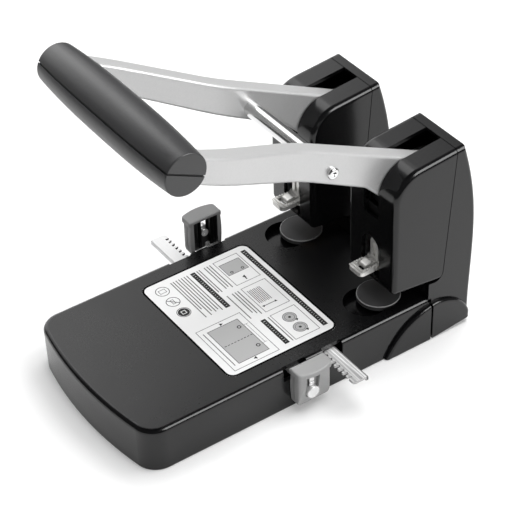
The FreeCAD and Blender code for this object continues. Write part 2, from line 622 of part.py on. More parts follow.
def arm_blank(half_t, grow):
    """Arm without its holes; half_t is half its thickness, grow widens it in height."""
    points, radii = arm_profile()
    side = prism_x(points, radii, 20, 80)
    if grow:
        lift = moved(side, 0, 0, grow)
        drop = moved(side, 0, 0, -grow)
        side = side.fuse([lift, drop])
    corners = [V(SIDE_X - half_t, 125, 60), V(SIDE_X + half_t, 125, 60),
               V(SIDE_X + half_t, 125, 240), V(SIDE_X - half_t, 125, 240)]
    section = Part.Wire(Part.makePolygon(corners + corners[:1]))
    ribbon = arm_path(60).makePipeShell([section], True, True)
    return side.common(ribbon)


def arm():
    blank = arm_blank(ARM_T / 2, 0)
    long_edges = [e for e in blank.Edges if e.BoundBox.YLength > 4 and e.BoundBox.XLength < 30
                  and not (e.BoundBox.YMin > 62)]
    blank = blank.makeFillet(ARM_EDGE_R, long_edges)
    pivot, bar = V(SIDE_X, PIVOT.y, PIVOT.z), V(SIDE_X, CROSSBAR_Y, CROSSBAR_Z)
    end = V(GRIP_ARM_X, GRIP_Y, GRIP_Z)
    across = V(10, 0, 0)
    blank = blank.cut(rod(PIVOT_R + 0.05, pivot - across, pivot + across))
    blank = blank.cut(rod(2.6, bar - across, bar + across))
    blank = blank.cut(rod(2.6, end - across, end + across))
    face = end + V(ARM_T / 2, 0, 0)
    return blank.cut(Part.makeCone(2.6, 5.0, 2.4, face - V(2.4, 0, 0), V(1, 0, 0)))


def crossbar():
    inner = SIDE_X - ARM_T / 2
    left, right = V(-inner, CROSSBAR_Y, CROSSBAR_Z), V(inner, CROSSBAR_Y, CROSSBAR_Z)
    bar = rod(CROSSBAR_D / 2, left, right)
    for end, way in ((left, 1), (right, -1)):
        bar = bar.cut(rod(2.2, end, end + V(way * 13, 0, 0)))
    return bar


def crossbar_screw(side):
    face = V(side * (SIDE_X + ARM_T / 2), CROSSBAR_Y, CROSSBAR_Z)
    tip = V(side * (SIDE_X - ARM_T / 2 - 11), CROSSBAR_Y, CROSSBAR_Z)
    screw = pan_screw(3.8, 2.4, 2.15, face, tip)
    screw = soften(screw, 1.2, lambda b, e: b.XLength < 0.01 and abs(b.Center.x) > abs(face.x) + 2.3
                   and b.YLength > 7)
    socket = Part.Face(Part.makePolygon(
        [face + V(side * 3, 1.6 * math.cos(a), 1.6 * math.sin(a))
         for a in [math.radians(60 * k) for k in range(7)]]))
    return screw.cut(socket.extrude(V(-side * 2.0, 0, 0)))


def grip_shell(end_r, mid_r, half_l, edge):
    """Barrel turned about the grip's own axis."""
    waist = 24.0
    low, high = V(-half_l, 0, 0), V(half_l, 0, 0)
    curve = Part.BSplineCurve()
    curve.interpolate([V(-half_l + edge, end_r, 0), V(-waist, mid_r - 0.15, 0), V(0, mid_r, 0),
                       V(waist, mid_r - 0.15, 0), V(half_l - edge, end_r, 0)])
    first, last = V(-half_l + edge, end_r, 0), V(half_l - edge, end_r, 0)
    edges = [Part.LineSegment(high, low).toShape()]
    if edge:
        cut = edge * 0.3
        left = [V(-half_l, end_r - edge, 0), V(-half_l + cut, end_r - cut, 0), first]
        right = [last, V(half_l - cut, end_r - cut, 0), V(half_l, end_r - edge, 0)]
        edges += [Part.LineSegment(low, left[0]).toShape(), Part.Arc(*left).toShape(), curve.toShape(),
                  Part.Arc(*right).toShape(), Part.LineSegment(right[2], high).toShape()]
    else:
        edges += [Part.LineSegment(low, first).toShape(), curve.toShape(),
                  Part.LineSegment(last, high).toShape()]
    barrel = Part.Face(Part.Wire(edges)).revolve(V(0, 0, 0), V(1, 0, 0), 360)
    return moved(barrel, 0, GRIP_Y, GRIP_Z)


def tilted_slab(low, high):
    """Everything between two planes beside the grip's parting plane."""
    block = box(-80, 80, -40, 40, low, high)
    block.rotate(V(0, 0, 0), V(1, 0, 0), GRIP_TILT)
    return moved(block, 0, GRIP_Y, GRIP_Z)


GRIP_SCREWS_X = (-44.0, 0.0, 44.0)
GRIP_WALL = 2.6
GRIP_GAP, GROOVE_W, GROOVE_DEEP = 0.1, 1.2, 1.0     # joint of the two shells and the groove that hides it
TUBE_R = 7.0


def grip_parts():
    barrel = grip_shell(GRIP_END_R, GRIP_MID_R, GRIP_L / 2, 0.8)
    core = grip_shell(GRIP_END_R - GROOVE_DEEP, GRIP_MID_R - GROOVE_DEEP, GRIP_L / 2 - GROOVE_DEEP, 0)
    room = grip_shell(GRIP_END_R - GRIP_WALL, GRIP_MID_R - GRIP_WALL, GRIP_L / 2 - 2.3, 0)
    shell = barrel.cut(room)
    slot = arm_blank(ARM_T / 2 + 0.15, 0.3)
    shell = shell.cut(slot).cut(mirrored(slot))
    shell = shell.cut(tilted_slab(-GROOVE_W / 2, GROOVE_W / 2).cut(core))
    centre = V(0, GRIP_Y, GRIP_Z)
    lean = math.radians(GRIP_TILT)
    up = V(0, -math.sin(lean), math.cos(lean))
    upper, lower = shell.common(tilted_slab(GRIP_GAP / 2, 40)), shell.common(tilted_slab(-40, -GRIP_GAP / 2))
    screws = []
    for x in GRIP_SCREWS_X:
        spot = centre + V(x, 0, 0)
        post = rod(3.2, spot - up * (GRIP_MID_R - 1.5), spot - up * (TUBE_R + 0.3))
        lower = lower.fuse(post.common(barrel))
        lower = lower.cut(rod(1.6, spot - up * 20, spot))
        lower = lower.cut(rod(2.8, spot - up * 20, spot - up * 11.6))
        screws.append(pan_screw(2.6, 1.6, 1.45, spot - up * 11.6, spot - up * (TUBE_R - 1.2)))
    return upper, lower, Part.makeCompound(screws), up


def grip_tube(up):
    inner = GRIP_ARM_X - ARM_T / 2 - 0.06
    left, right = V(-inner, GRIP_Y, GRIP_Z), V(inner, GRIP_Y, GRIP_Z)
    tube = rod(TUBE_R, left, right)
    for end, way in ((left, 1), (right, -1)):
        tube = tube.cut(rod(2.2, end, end + V(way * 14, 0, 0)))
    for x in GRIP_SCREWS_X:
        spot = V(x, GRIP_Y, GRIP_Z)
        tube = tube.cut(rod(1.5, spot - up * 9, spot - up * 4.5))
    return tube


def arm_screws():
    """Countersunk screws that hold the arms to the ends of the grip tube."""
    screws = []
    for side in (-1, 1):
        face = V(side * (GRIP_ARM_X + ARM_T / 2 - 0.1), GRIP_Y, GRIP_Z)
        inward = V(-side, 0, 0)
        head = Part.makeCone(4.8, 2.5, 2.3, face, inward)
        screws.append(head.fuse(rod(2.15, face + inward * 2.3, face + inward * 23)))
    return Part.makeCompound(screws)


ARM = arm()
save("arm_right", ARM)
save("arm_left", mirrored(ARM))
save("crossbar", crossbar())
save("crossbar_screws", Part.makeCompound([crossbar_screw(-1), crossbar_screw(1)]))
UPPER, LOWER, SHELL_SCREWS, GRIP_UP = grip_parts()
save("grip_upper", UPPER)
save("grip_lower", LOWER)
save("grip_screws", SHELL_SCREWS)
save("grip_tube", grip_tube(GRIP_UP))
save("arm_screws", arm_screws())


# ---- paper guides: two racks on one pinion, each carrying a block that lifts ---------------------
TOOTH_ROOT, TOOTH_TIP = 0.30, 0.16   # half widths of a rack tooth, as parts of the pitch
STRIP_BACK = 9.5                     # pitch line to the back of the rack
LIP_H = 3.0                          # the back of the rack turns down by this much
PLATE_Z = (19.0, 21.0)
GUIDE_BOLTS = [(-45, 5), (45, 5)]
BLOCK_GAP = 0.5                      # side of the base to a guide block
BLOCK_OFFSET = 6.95                  # pinion to the middle of a block
BLOCK_DEEP = 11.0
BLOCK_LID_Z = 23.8                   # the lid of a block stands a little proud of its sides
SLOT_SHIFT = -2.4                    # the slot lies off the middle of the block
KNOB_Z = 11.0                        # knob above the foot of its block
END_PLATE_TOP = 28.4                 # the rack turns down and up into a plate inside its block
STUD_R, STUD_HEAD_R, STUD_Z = 1.0, 2.2, 26.9    # stud of the end plate that carries the block's own plate
STUD_SHIFT = SLOT_SHIFT - 1.0
RIBS = (-8.4, -7.0, 6.6, 8.4)        # moulded ribs inside the outer wall of a block


def rack(side):
    """Rack on the side of the pinion given by the sign; its block end points to +X for -1."""
    pitch_y = PINION_Y + side * PITCH_R
    tip_y, root_y = pitch_y - side * GEAR_MODULE, pitch_y + side * GEAR_MODULE * 1.2
    back_y = pitch_y + side * STRIP_BACK
    way = -side
    end_x, tail_x = way * (HALF_W + 0.45), -way * RACK_TAIL_X
    z0 = RACK_TOP - RACK_T
    strip = box(*sorted((tail_x, end_x)), *sorted((root_y, back_y)), z0, RACK_TOP)
    first = int(math.ceil((-RACK_TAIL_X + 3) / TOOTH_PITCH))
    root, tip = TOOTH_PITCH * TOOTH_ROOT, TOOTH_PITCH * TOOTH_TIP
    for k in range(first, int(46 / TOOTH_PITCH)):
        x = way * (k + 0.5) * TOOTH_PITCH
        points = [(x - root, root_y + side * 0.5), (x - root, root_y), (x - tip, tip_y),
                  (x + tip, tip_y), (x + root, root_y), (x + root, root_y + side * 0.5)]
        strip = strip.fuse(prism_z(points, [0] * 6, z0, RACK_TOP))
    plain_x = way * (first * TOOTH_PITCH - 0.6)
    end_pad = [(tail_x, root_y + side), (tail_x, tip_y), (plain_x, tip_y), (plain_x, root_y + side)]
    strip = strip.fuse(prism_z(end_pad, [0, 2.4, 0, 0], z0, RACK_TOP))
    strip = strip.fuse(box(*sorted((tail_x, end_x)), *sorted((back_y, back_y - side * RACK_T)),
                           RACK_TOP - LIP_H, RACK_TOP))
    strip = soften(strip, 0.8, lambda b, e: b.XLength > 50 and b.ZMin > RACK_TOP - 0.01
                   and abs(b.YMin - back_y) < 0.01)
    mid_y = PINION_Y + side * BLOCK_OFFSET
    end_plate = box(*sorted((end_x, end_x + way * 1.5)), mid_y - 7.0, mid_y + 7.0, 8.0, END_PLATE_TOP)
    stud_y = mid_y + way * STUD_SHIFT
    under_head, tip = way * (HALF_W + 4.0), way * (HALF_W + 4.9)
    stud = rod(STUD_R, V(end_x, stud_y, STUD_Z), V(tip, stud_y, STUD_Z))
    head = rod(STUD_HEAD_R, V(under_head, stud_y, STUD_Z), V(tip, stud_y, STUD_Z))
    groove = box(*sorted((tip - way * 0.4, tip + way)), stud_y - 3, stud_y + 3, STUD_Z - 0.4, STUD_Z + 0.4)
    return strip.fuse([end_plate, stud, head]).cut(groove).removeSplitter()


def barrel_face(half, bulge, height, x):
    """Upright face with bulging sides, as wide as given at its foot and head."""
    sides = []
    for way in (1, -1):
        foot, head = V(x, way * half, 0), V(x, way * half, height)
        belly = V(x, way * (half + bulge), height * 0.48)
        sides.append(Part.Arc(foot, belly, head).toShape())
    ends = [Part.LineSegment(V(x, -half, z), V(x, half, z)).toShape() for z in (0, height)]
    return Part.Face(Part.Wire([ends[0], sides[0], ends[1], sides[1]]))


def guide_block(side, z0):
    """Block of the rack on that side of the pinion, with its foot at z0."""
    way = -side
    inner, half = HALF_W + BLOCK_GAP, BLOCK_W / 2 - 1.4
    profile = [(inner, 0), (inner + 6.2, 0), (inner + 8.6, 9.0), (inner + BLOCK_DEEP, BLOCK_LID_Z),
               (inner + BLOCK_DEEP, BLOCK_H - 1), (inner, BLOCK_H - 1)]
    body = prism_y(profile, [0, 3.0, 12.0, 0, 0, 0], -20, 20)
    plan = [(inner - 1, -half - 2), (inner + 8.8, -half - 0.4), (inner + BLOCK_DEEP + 1.2, 0),
            (inner + 8.8, half + 0.4), (inner - 1, half + 2)]
    body = body.common(prism_z(plan, [0, 2.8, 30.0, 2.8, 0], -1, BLOCK_H + 1))
    barrel = barrel_face(half, 1.0, BLOCK_H, inner - 1).extrude(V(20, 0, 0))
    barrel = soften(barrel, 4.0, lambda b, e: b.ZMax < 0.01 and b.XLength > 10)
    body = body.common(barrel)
    lid_half = BLOCK_W / 2
    lid_plan = [(inner, -lid_half), (inner + 9.6, -lid_half), (inner + BLOCK_DEEP + 2.6, 0),
                (inner + 9.6, lid_half), (inner, lid_half)]
    lid = prism_z(lid_plan, [0.8, 3.0, 30.0, 3.0, 0.8], BLOCK_LID_Z, BLOCK_H)
    lid = soften(lid, 1.1, lambda b, e: b.ZMin > BLOCK_H - 0.01 and b.XMax > inner + 1)
    lid = soften(lid, 0.7, lambda b, e: b.ZMax < BLOCK_LID_Z + 0.01 and b.XMax > inner + 1)
    for way_y in (-1, 1):
        edge = sorted((way_y * (half + 0.35), way_y * (half + 4)))
        body = body.cut(box(inner + 3.4, inner + 3.9, *edge, -1, BLOCK_LID_Z))
    body = body.fuse(lid)
    room = prism_y([(inner - 1, -1), (inner + 4.7, -1), (inner + 4.7, 6.0), (inner + 6.6, 12.0),
                    (inner + 6.9, BLOCK_H - 2.2), (inner - 1, BLOCK_H - 2.2)], [0] * 6, 2 - half, half - 2)
    for rib_y in RIBS:
        room = room.cut(box(inner + 4.0, inner + 8, rib_y - 0.5, rib_y + 0.5, -2, BLOCK_H))
    body = body.cut(room)
    offset = way * SLOT_SHIFT
    recess = rounded([(offset - 4.6, 6.0), (offset + 4.6, 6.0), (offset + 4.6, 23.2), (offset - 4.6, 23.2)],
                     [4.5, 4.5, 1.0, 1.0], lambda p: V(inner + 7.4, p.x, p.y))
    body = body.cut(Part.Face(recess).extrude(V(3.9, 0, 0)))
    slot = rounded([(offset - 2.0, 8.0), (offset + 2.0, 8.0), (offset + 2.0, 23.0), (offset - 2.0, 23.0)],
                   [1.9] * 4, lambda p: V(inner, p.x, p.y))
    body = body.cut(Part.Face(slot).extrude(V(11, 0, 0)))
    if way < 0:
        body = mirrored(body)
    return moved(body, 0, PINION_Y + side * BLOCK_OFFSET, z0)


def guide_plate(side, z0):
    """Steel plate in the block; its slot runs on the stud of the rack."""
    way = -side
    x = way * (HALF_W + 2.5)
    a, b = sorted((x, x + way * 1.4))
    y = PINION_Y + side * BLOCK_OFFSET + way * SLOT_SHIFT
    plate = box(a, b, *sorted((y - way * 4.2, y + way * 6.2)), z0 + 0.2, z0 + 25.2)
    reach, shift = STUD_R + 0.1, way * (STUD_SHIFT - SLOT_SHIFT)
    y0, y1 = sorted((y + shift - way * reach, y + way * 4.6))
    low, high = z0 + STUD_Z - BLOCK_LOW_Z - BLOCK_LIFT - reach, z0 + STUD_Z - BLOCK_LOW_Z + reach
    slot = rounded([(y0, low), (y1, low), (y1, high), (y0, high)], [reach - 0.02] * 4,
                   lambda p: V(a - 1, p.x, p.y))
    return plate.cut(Part.Face(slot).extrude(V(4, 0, 0)))


def guide_knob(side, z0):
    """Round nut on the outside of the block, screwed through its slot."""
    way = -side
    y, z = PINION_Y + side * BLOCK_OFFSET + way * SLOT_SHIFT, z0 + KNOB_Z
    seat = V(way * (HALF_W + BLOCK_GAP + 7.5), y, z)
    head = rod(4.2, seat, seat + V(way * 3.4, 0, 0))
    head = soften(head, 0.6, lambda b, e: abs(b.Center.x) > abs(seat.x) + 3 and b.XLength < 0.01)
    shank = rod(1.9, V(way * (HALF_W + BLOCK_GAP + 4.8), y, z), seat)
    flange = rod(2.6, V(way * (HALF_W + BLOCK_GAP + 4.8), y, z), V(way * (HALF_W + BLOCK_GAP + 5.3), y, z))
    return head.fuse([shank, flange])


def guide_pinion():
    root_r, tip_r = PITCH_R - GEAR_MODULE * 1.2, PITCH_R + GEAR_MODULE
    z0, z1 = RACK_TOP - RACK_T - 0.1, RACK_TOP + 0.1
    gear = rod(root_r, V(0, PINION_Y, z0), V(0, PINION_Y, z1))
    for k in range(PINION_TEETH):
        angle = 360.0 * k / PINION_TEETH
        root, tip = TOOTH_PITCH * 0.24, TOOTH_PITCH * 0.09
        tooth = prism_z([(root_r - 0.8, -root), (root_r, -root), (tip_r, -tip), (tip_r, tip), (root_r, root),
                         (root_r - 0.8, root)], [0] * 6, z0, z1)
        tooth.rotate(V(0, 0, 0), V(0, 0, 1), angle)
        gear = gear.fuse(moved(tooth, 0, PINION_Y, 0))
    gear = gear.fuse(rod(4.2, V(0, PINION_Y, 23.2), V(0, PINION_Y, z0)))
    return gear.cut(rod(2.05, V(0, PINION_Y, 20), V(0, PINION_Y, 30))).removeSplitter()


def rack_guide_plate():
    low, high = PLATE_Z
    plate = round_box(-57, 57, -20, 24, low, high, 4)
    rail_top = RACK_TOP - RACK_T - 0.1
    for y0, y1 in ((-13.0, -9.2), (13.0, 17.0)):
        plate = plate.fuse(box(-57, 57, y0, y1, high, rail_top))
    for x, y in GUIDE_BOLTS:
        plate = plate.fuse(rod(4.0, V(x, y, CHASSIS_Z1), V(x, y, high)))
        plate = plate.cut(rod(1.6, V(x, y, 0), V(x, y, high + 1)))
    return plate.cut(rod(1.95, V(0, PINION_Y, 10), V(0, PINION_Y, 30)))


def pinion_stud():
    low, high = PLATE_Z
    stud = rod(2.0, V(0, PINION_Y, high), V(0, PINION_Y, RACK_TOP + 0.3))
    stud = stud.fuse(rod(1.93, V(0, PINION_Y, low), V(0, PINION_Y, high)))
    return stud.fuse(rod(3.4, V(0, PINION_Y, low - 1.4), V(0, PINION_Y, low)))


save("guide_rack_front", rack(-1))
save("guide_rack_rear", rack(1))
for side, name, foot in ((-1, "right", BLOCK_LOW_Z), (1, "left", BLOCK_LOW_Z + BLOCK_LIFT)):
    save("guide_block_" + name, guide_block(side, foot))
    save("guide_plate_" + name, guide_plate(side, foot))
    save("guide_knob_" + name, guide_knob(side, foot))
save("guide_pinion", guide_pinion())
save("rack_guide_plate", rack_guide_plate())
save("pinion_stud", pinion_stud())
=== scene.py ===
import bmesh
import bpy
import math
from mathutils import Matrix, Vector


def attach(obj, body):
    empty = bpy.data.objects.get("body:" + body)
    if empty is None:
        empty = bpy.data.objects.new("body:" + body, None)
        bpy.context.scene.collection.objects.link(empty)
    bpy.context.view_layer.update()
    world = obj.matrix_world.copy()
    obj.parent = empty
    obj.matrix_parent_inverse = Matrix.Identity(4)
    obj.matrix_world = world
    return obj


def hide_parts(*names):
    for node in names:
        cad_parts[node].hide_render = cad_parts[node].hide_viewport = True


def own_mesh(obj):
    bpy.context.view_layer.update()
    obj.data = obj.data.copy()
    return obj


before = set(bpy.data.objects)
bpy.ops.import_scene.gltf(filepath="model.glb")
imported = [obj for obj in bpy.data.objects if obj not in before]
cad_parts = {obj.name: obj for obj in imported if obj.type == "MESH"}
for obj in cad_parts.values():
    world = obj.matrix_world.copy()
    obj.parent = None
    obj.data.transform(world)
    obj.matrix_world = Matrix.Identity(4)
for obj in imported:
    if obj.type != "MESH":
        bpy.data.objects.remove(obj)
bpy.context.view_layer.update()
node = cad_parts
MM = 0.001

# ---- Table and studio -------------------------------------------------------------------------
# The machine stands on a plain white table. A pale wall behind it and a lamp from each side give
# the plastic its sheen; black flags in front keep the metal and the rounded edges from washing out.

def ink(hex_code):
    """Linear colour of an sRGB hex value."""
    channels = [int(hex_code[i:i + 2], 16) / 255 for i in (1, 3, 5)]
    return [c / 12.92 if c <= 0.04045 else ((c + 0.055) / 1.055) ** 2.4 for c in channels] + [1.0]


def put(tree, kind, inputs=None, **settings):
    """Add a shader node; inputs gives each named socket a value or the socket that feeds it."""
    made = tree.nodes.new("ShaderNode" + kind)
    for name, value in settings.items():
        setattr(made, name, value)
    for name, value in (inputs or {}).items():
        if isinstance(value, bpy.types.NodeSocket):
            tree.links.new(value, made.inputs[name])
        else:
            made.inputs[name].default_value = value
    return made


def seen_rays(tree):
    """1 for a ray that shows the background: straight from the camera, mirrored or through glass."""
    ray = put(tree, "LightPath")
    seen = put(tree, "Math", {0: ray.outputs["Is Camera Ray"], 1: ray.outputs["Is Glossy Ray"]},
               operation="MAXIMUM")
    return ray, put(tree, "Math", {0: seen.outputs[0], 1: ray.outputs["Is Transmission Ray"]},
                    operation="MAXIMUM")


TABLE_SIZE, TABLE_FADE = 2.0, 0.5   # its side, and how far from the middle its rim starts to fade
TABLE_COLOUR = "#e6e6e6"
TABLE_LIFT = 0.2                    # how much brighter the table looks than it is lit
CARD_STRENGTH = 0.28                # light of the room on matt surfaces
WALL_WAY = (-0.55, 0.83, 0.0)       # towards the pale wall
WALL_RISE = (0.0, 0.4)              # how squarely a ray meets the wall, from its dim to its bright part
WALL_DARK, WALL_BRIGHT = 0.10, 1.5
CEILING_FALL, CEILING_DARK = (0.77, 0.87), 0.1     # a black ceiling, by the height of a ray
CORNER_FALL, CORNER_DARK = (0.35, 0.47), 0.12      # a black flag at the far end of the wall

corners = bmesh.new()
bmesh.ops.create_grid(corners, x_segments=1, y_segments=1, size=TABLE_SIZE / 2)
table_mesh = bpy.data.meshes.new("table")
corners.to_mesh(table_mesh)
corners.free()
table = bpy.data.objects.new("table", table_mesh)
bpy.context.scene.collection.objects.link(table)

white_card = bpy.data.materials.new("white_card")
white_card.use_nodes = True
tree = white_card.node_tree
tree.nodes.clear()
ray, seen = seen_rays(tree)
lift = put(tree, "Math", {0: seen.outputs[0], 1: TABLE_LIFT}, operation="MULTIPLY")
matt = put(tree, "BsdfDiffuse", {"Color": ink(TABLE_COLOUR)})
glow = put(tree, "Emission", {"Color": ink("#ffffff"), "Strength": lift.outputs[0]})
both = put(tree, "AddShader", {0: matt.outputs[0], 1: glow.outputs[0]})
out = put(tree, "VectorMath", {0: put(tree, "TexCoord").outputs["Object"]}, operation="LENGTH")
rim = put(tree, "MapRange", {"Value": out.outputs["Value"], "From Min": TABLE_FADE, "From Max": TABLE_SIZE / 2},
          interpolation_type="SMOOTHSTEP")
clear = put(tree, "BsdfTransparent")
faded = put(tree, "MixShader", {0: rim.outputs[0], 1: both.outputs[0], 2: clear.outputs[0]})
put(tree, "OutputMaterial", {"Surface": faded.outputs[0]})
table_mesh.materials.append(white_card)

world = bpy.data.worlds.new("studio")
bpy.context.scene.world = world
world.use_nodes = True
tree = world.node_tree
tree.nodes.clear()
ray, seen = seen_rays(tree)
way = put(tree, "TexCoord").outputs["Generated"]
toward = put(tree, "VectorMath", {0: way, 1: WALL_WAY}, operation="DOT_PRODUCT")
wall = put(tree, "MapRange", {"Value": toward.outputs["Value"], "From Min": WALL_RISE[0], "From Max": WALL_RISE[1],
                              "To Min": WALL_DARK, "To Max": WALL_BRIGHT}, interpolation_type="SMOOTHSTEP")
parts = put(tree, "SeparateXYZ", {0: way})
ceiling = put(tree, "MapRange", {"Value": parts.outputs["Z"], "From Min": CEILING_FALL[0], "From Max": CEILING_FALL[1],
                                 "To Min": 1.0, "To Max": CEILING_DARK}, interpolation_type="SMOOTHSTEP")
corner = put(tree, "MapRange", {"Value": parts.outputs["Y"], "From Min": CORNER_FALL[0], "From Max": CORNER_FALL[1],
                                "To Min": 1.0, "To Max": CORNER_DARK}, interpolation_type="SMOOTHSTEP")
studio = put(tree, "Math", {0: wall.outputs[0], 1: ceiling.outputs[0]}, operation="MULTIPLY")
studio = put(tree, "Math", {0: studio.outputs[0], 1: corner.outputs[0]}, operation="MULTIPLY")
shown = put(tree, "Mix", {"Factor": ray.outputs["Is Camera Ray"], 2: studio.outputs[0], 3: 1.0})
card = put(tree, "Background", {"Color": ink("#ffffff"), "Strength": CARD_STRENGTH})
white = put(tree, "Background", {"Color": ink("#ffffff"), "Strength": shown.outputs[0]})
mix = put(tree, "MixShader", {0: seen.outputs[0], 1: card.outputs[0], 2: white.outputs[0]})
put(tree, "OutputWorld", {"Surface": mix.outputs[0]})

LAMPS = [  # name, place, aim, width, height, watts, lights matt surfaces, mirrored by gloss
    ("overhead", (0.0, 0.35, 1.35), (0, 0, 0.05), 1.2, 1.2, 24.0, True, False),
    ("soft_box", (-1.31, 0.02, 0.73), (0, 0, 0.05), 1.75, 0.8, 3.8, True, True),
    ("side_strip", (0.92, 0.58, 0.88), (0, 0.05, 0.08), 0.8, 0.8, 16.0, False, True),
    ("top_card", (-0.92, 0.12, 1.2), (0, -0.05, 0.15), 0.55, 0.55, 1.4, False, True),
    ("right", (1.4, 0.3, 0.75), (0, 0, 0.05), 0.8, 0.8, 5.8, True, False),
]
for name, place, aim, wide, tall, watts, lit, mirrored in LAMPS:
    lamp = bpy.data.lights.new(name, "AREA")
    lamp.shape = "RECTANGLE"
    lamp.size, lamp.size_y = wide, tall
    lamp.energy = watts
    holder = bpy.data.objects.new(name, lamp)
    holder.location = place
    holder.rotation_euler = (Vector(aim) - Vector(place)).to_track_quat("-Z", "Y").to_euler()
    holder.visible_diffuse = lit
    holder.visible_glossy = mirrored
    bpy.context.scene.collection.objects.link(holder)

CAMERA_PLACE = Vector((722.97, -479.35, 763.97)) * MM
CAMERA_RIGHT = Vector((0.571376, 0.820345, -0.023751))
CAMERA_UP = Vector((-0.503919, 0.373532, 0.778807))
FOCAL_PIXELS, FRAME_PIXELS, SENSOR_MM = 1868.16, 512, 36.0
eye = bpy.data.cameras.new("camera")
eye.sensor_width = SENSOR_MM
eye.lens = SENSOR_MM * FOCAL_PIXELS / FRAME_PIXELS
eye.clip_start = 0.05
camera = bpy.data.objects.new("camera", eye)
axes = Matrix((CAMERA_RIGHT, CAMERA_UP, CAMERA_RIGHT.cross(CAMERA_UP))).transposed()
camera.matrix_world = Matrix.Translation(CAMERA_PLACE) @ axes.to_4x4()
bpy.context.scene.collection.objects.link(camera)
bpy.context.scene.camera = camera
bpy.context.scene.view_settings.view_transform = "Standard"


# ---- Base cover and rear cover ----------------------------------------------------------------
# The base cover carries the paper; the rear cover is the back of the base with both columns.
# Both are injection-moulded black ABS, screwed to the chassis from below, with a fine eroded grain.

def finish(name):
    """New empty material; returns it with its node tree and object coordinates."""
    made = bpy.data.materials.new(name)
    made.use_nodes = True
    made.node_tree.nodes.clear()
    return made, made.node_tree, put(made.node_tree, "TexCoord").outputs["Object"]


def dress(material, *names):
    """Give CAD nodes a finish."""
    for name in names:
        slots = node[name].data.materials
        slots.clear()
        slots.append(material)


FLOW_MM = 45.0            # size of the flow marks in a moulding
UNEVEN = 0.1              # how far the gloss of a moulding wanders either way


def moulded(name, dark, pale, rough, grain_mm, depth_mm, level=0.5, deck_mm=None, deck_rough=0.0):
    """Moulded plastic: faint flow marks in the colour and an eroded grain in the surface.

    What lies above deck_mm has a coarser, duller grain than the polished edges."""
    made, tree, place = finish(name)
    flow = put(tree, "TexNoise", {"Vector": place, "Scale": 1000 / FLOW_MM, "Detail": 3.0, "Roughness": 0.6})
    colour = put(tree, "Mix", {"Factor": flow.outputs[0], 6: ink(dark), 7: ink(pale)}, data_type="RGBA")
    grain = put(tree, "TexNoise", {"Vector": place, "Scale": 1000 / grain_mm, "Detail": 2.0, "Roughness": 0.55})
    bump = put(tree, "Bump", {"Height": grain.outputs[0], "Strength": 1.0, "Distance": depth_mm * MM})
    sheen = put(tree, "Math", {0: grain.outputs[0], 1: flow.outputs[0]}, operation="ADD")
    uneven = put(tree, "MapRange", {"Value": sheen.outputs[0], "From Max": 2.0, "To Min": rough - UNEVEN,
                                    "To Max": rough + UNEVEN})
    skin = put(tree, "BsdfPrincipled", {"Base Color": colour.outputs[2], "Roughness": uneven.outputs[0],
                                        "Normal": bump.outputs[0], "Specular IOR Level": level})
    if deck_mm:
        height = put(tree, "SeparateXYZ", {0: place})
        deck = put(tree, "Math", {0: height.outputs["Z"], 1: deck_mm * MM}, operation="GREATER_THAN")
        dull = put(tree, "Math", {0: deck.outputs[0], 1: deck_rough, 2: uneven.outputs[0]},
                   operation="MULTIPLY_ADD")
        tree.links.new(dull.outputs[0], skin.inputs["Roughness"])
    put(tree, "OutputMaterial", {"Surface": skin.outputs[0]})
    return made


# eroded ABS: near black, a soft sheen with a faint sparkle; the grain is drawn coarser than the
# real 0.2 mm so that it shows
grained_black_abs = moulded("grained_black_abs", "#09090a", "#0e0e0f", 0.17, 1.3, 0.012, 0.4)
DECK_MM = 30.95           # just under the flat top of the base
deck_black_abs = moulded("deck_black_abs", "#09090a", "#0e0e0f", 0.17, 1.3, 0.02, 0.4,
                         deck_mm=DECK_MM, deck_rough=0.12)
dress(deck_black_abs, "base_cover")
dress(grained_black_abs, "rear_cover")


# ---- Chip tray, feet and chassis --------------------------------------------------------------
# A black polypropylene tray closes the base from below and catches the paper chips. It is pressed
# in over four rubber feet; a folded steel plate above it ties the machine together.

# polypropylene: a waxy, even dark grey without reflections
tray_polypropylene = moulded("tray_polypropylene", "#101010", "#161616", 0.4, 1.2, 0.02)
dress(tray_polypropylene, "chip_tray")
# rubber: dull black, dusty
moulded_rubber = moulded("moulded_rubber", "#151515", "#1b1b1b", 0.85, 0.6, 0.03, 0.3)
dress(moulded_rubber, "rubber_feet")


EDGE_BLACK = "#2c2c2c"


